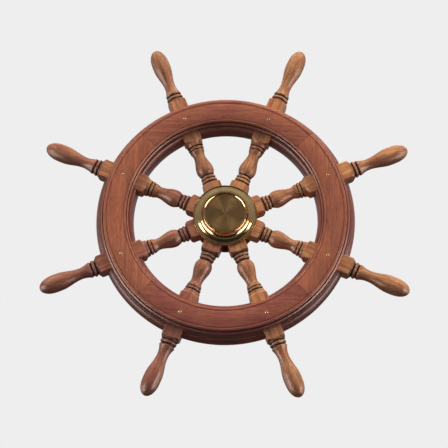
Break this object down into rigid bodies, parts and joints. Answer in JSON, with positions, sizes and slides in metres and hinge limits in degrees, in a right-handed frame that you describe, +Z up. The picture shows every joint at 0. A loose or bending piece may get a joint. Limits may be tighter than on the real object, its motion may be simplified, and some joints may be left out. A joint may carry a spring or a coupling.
{
  "type": "ship steering wheel",
  "caption": "Wooden ship steering wheel with turned spoke handles, a layered rim, a brass hub, and a short shaft turning in a flanged bearing.",
  "frame": {"origin": "centre of the wheel: on the shaft's axis, in the middle plane of the rim", "axes": "+Y along the shaft's axis, from the front of the wheel towards the bulkhead; +Z up; +X to the right as seen from the front"},
  "size_m": [0.7046, 0.1085, 0.7046],
  "materials": {
    "mahogany_ring": "gloss varnish",
    "mahogany_felloe": "gloss varnish",
    "mahogany_spoke": "gloss varnish",
    "polished_brass": "polished",
    "turned_brass": "lathe-turned, lightly brushed",
    "bronze": "cast and machined",
    "bright_steel": "machined"
  },
  "bodies": {
    "helm_bearing": {"bearing_housing": "bronze", "bearing_bush": "bronze"},
    "wheel": {"front_ring_segment_1": "mahogany_ring", "front_ring_segment_2": "mahogany_ring", "front_ring_segment_3": "mahogany_ring", "front_ring_segment_4": "mahogany_ring", "back_ring_segment_1": "mahogany_ring", "back_ring_segment_2": "mahogany_ring", "back_ring_segment_3": "mahogany_ring", "back_ring_segment_4": "mahogany_ring", "felloe_1": "mahogany_felloe", "felloe_2": "mahogany_felloe", "felloe_3": "mahogany_felloe", "felloe_4": "mahogany_felloe", "felloe_5": "mahogany_felloe", "felloe_6": "mahogany_felloe", "felloe_7": "mahogany_felloe", "felloe_8": "mahogany_felloe", "spoke_1": "mahogany_spoke", "spoke_2": "mahogany_spoke", "spoke_3": "mahogany_spoke", "spoke_4": "mahogany_spoke", "spoke_5": "mahogany_spoke", "spoke_6": "mahogany_spoke", "spoke_7": "mahogany_spoke", "spoke_8": "mahogany_spoke", "rim_pin_1": "polished_brass", "rim_pin_2": "polished_brass", "rim_pin_3": "polished_brass", "rim_pin_4": "polished_brass", "rim_pin_5": "polished_brass", "rim_pin_6": "polished_brass", "rim_pin_7": "polished_brass", "rim_pin_8": "polished_brass", "hub_screw_1": "polished_brass", "hub_screw_2": "polished_brass", "hub_screw_3": "polished_brass", "hub_screw_4": "polished_brass", "hub_screw_5": "polished_brass", "hub_screw_6": "polished_brass", "hub_screw_7": "polished_brass", "hub_screw_8": "polished_brass", "front_hub_plate": "polished_brass", "back_hub_plate": "polished_brass", "hub_bush": "bronze", "steering_shaft": "bright_steel", "shaft_key": "bright_steel", "shaft_washer": "bright_steel", "shaft_nut": "bright_steel", "retaining_ring": "bright_steel"},
    "cap": {"centre_cap": "turned_brass"}
  },
  "joints": [
    {"name": "wheel_spin", "type": "hinge", "parent": "helm_bearing", "child": "wheel", "pos_m": [0, 0, 0], "axis": [0, 1, 0], "continuous": true},
    {"name": "cap_pull", "type": "slide", "parent": "wheel", "child": "cap", "axis": [0, -1, 0], "range_m": [0, 0.03]}
  ]
}
